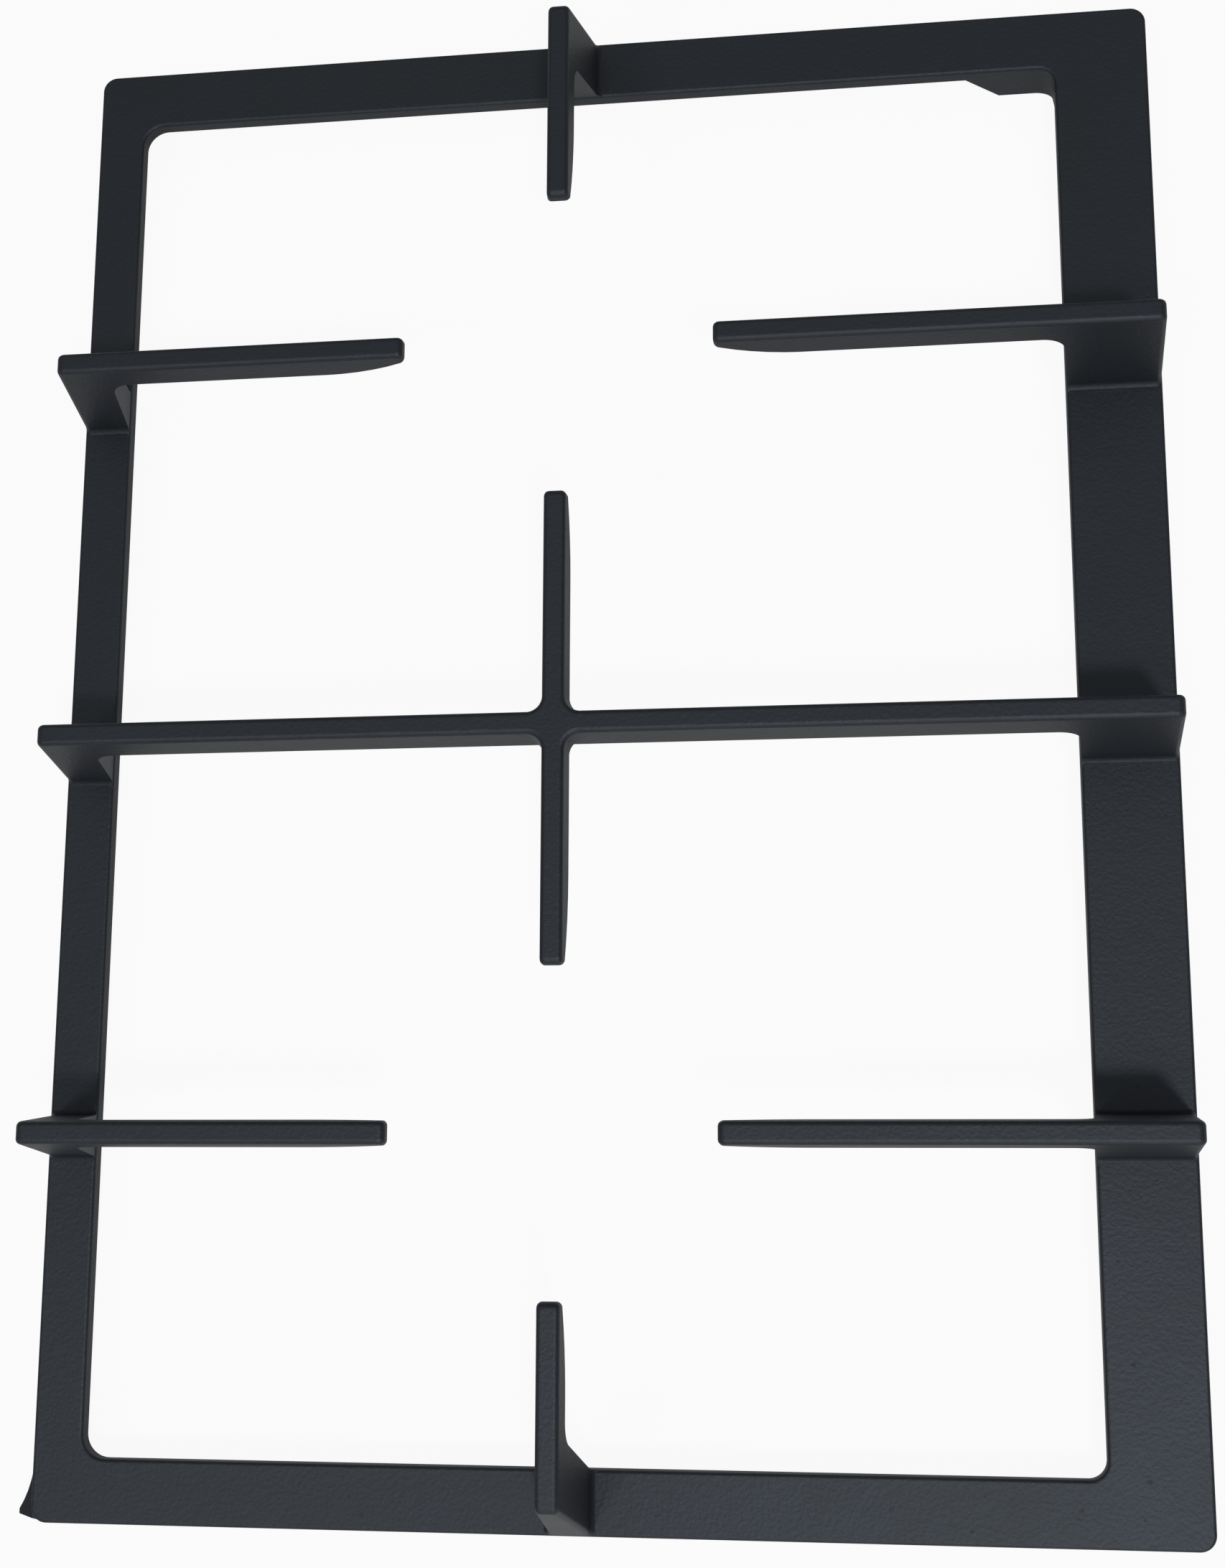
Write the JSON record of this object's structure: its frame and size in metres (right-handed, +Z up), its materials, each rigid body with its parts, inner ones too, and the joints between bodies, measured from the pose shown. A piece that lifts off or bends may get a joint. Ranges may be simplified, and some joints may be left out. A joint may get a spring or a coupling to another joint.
{
  "type": "stove grate",
  "caption": "Cast-iron stove grate: a thin flat frame on low corner feet, with drafted pan fingers on leaning legs that point at the burner openings.",
  "frame": {"origin": "middle of the footprint, toe included, at the height of the feet's soles", "axes": "+Z up to the pans, +Y from the front to the back along the grate's length, +X to its right"},
  "size_m": [0.294, 0.3936, 0.0491],
  "materials": {
    "enamelled_iron": "near-black satin enamel over a finely grained casting"
  },
  "bodies": {
    "root": {"grate": "enamelled_iron"}
  },
  "joints": []
}
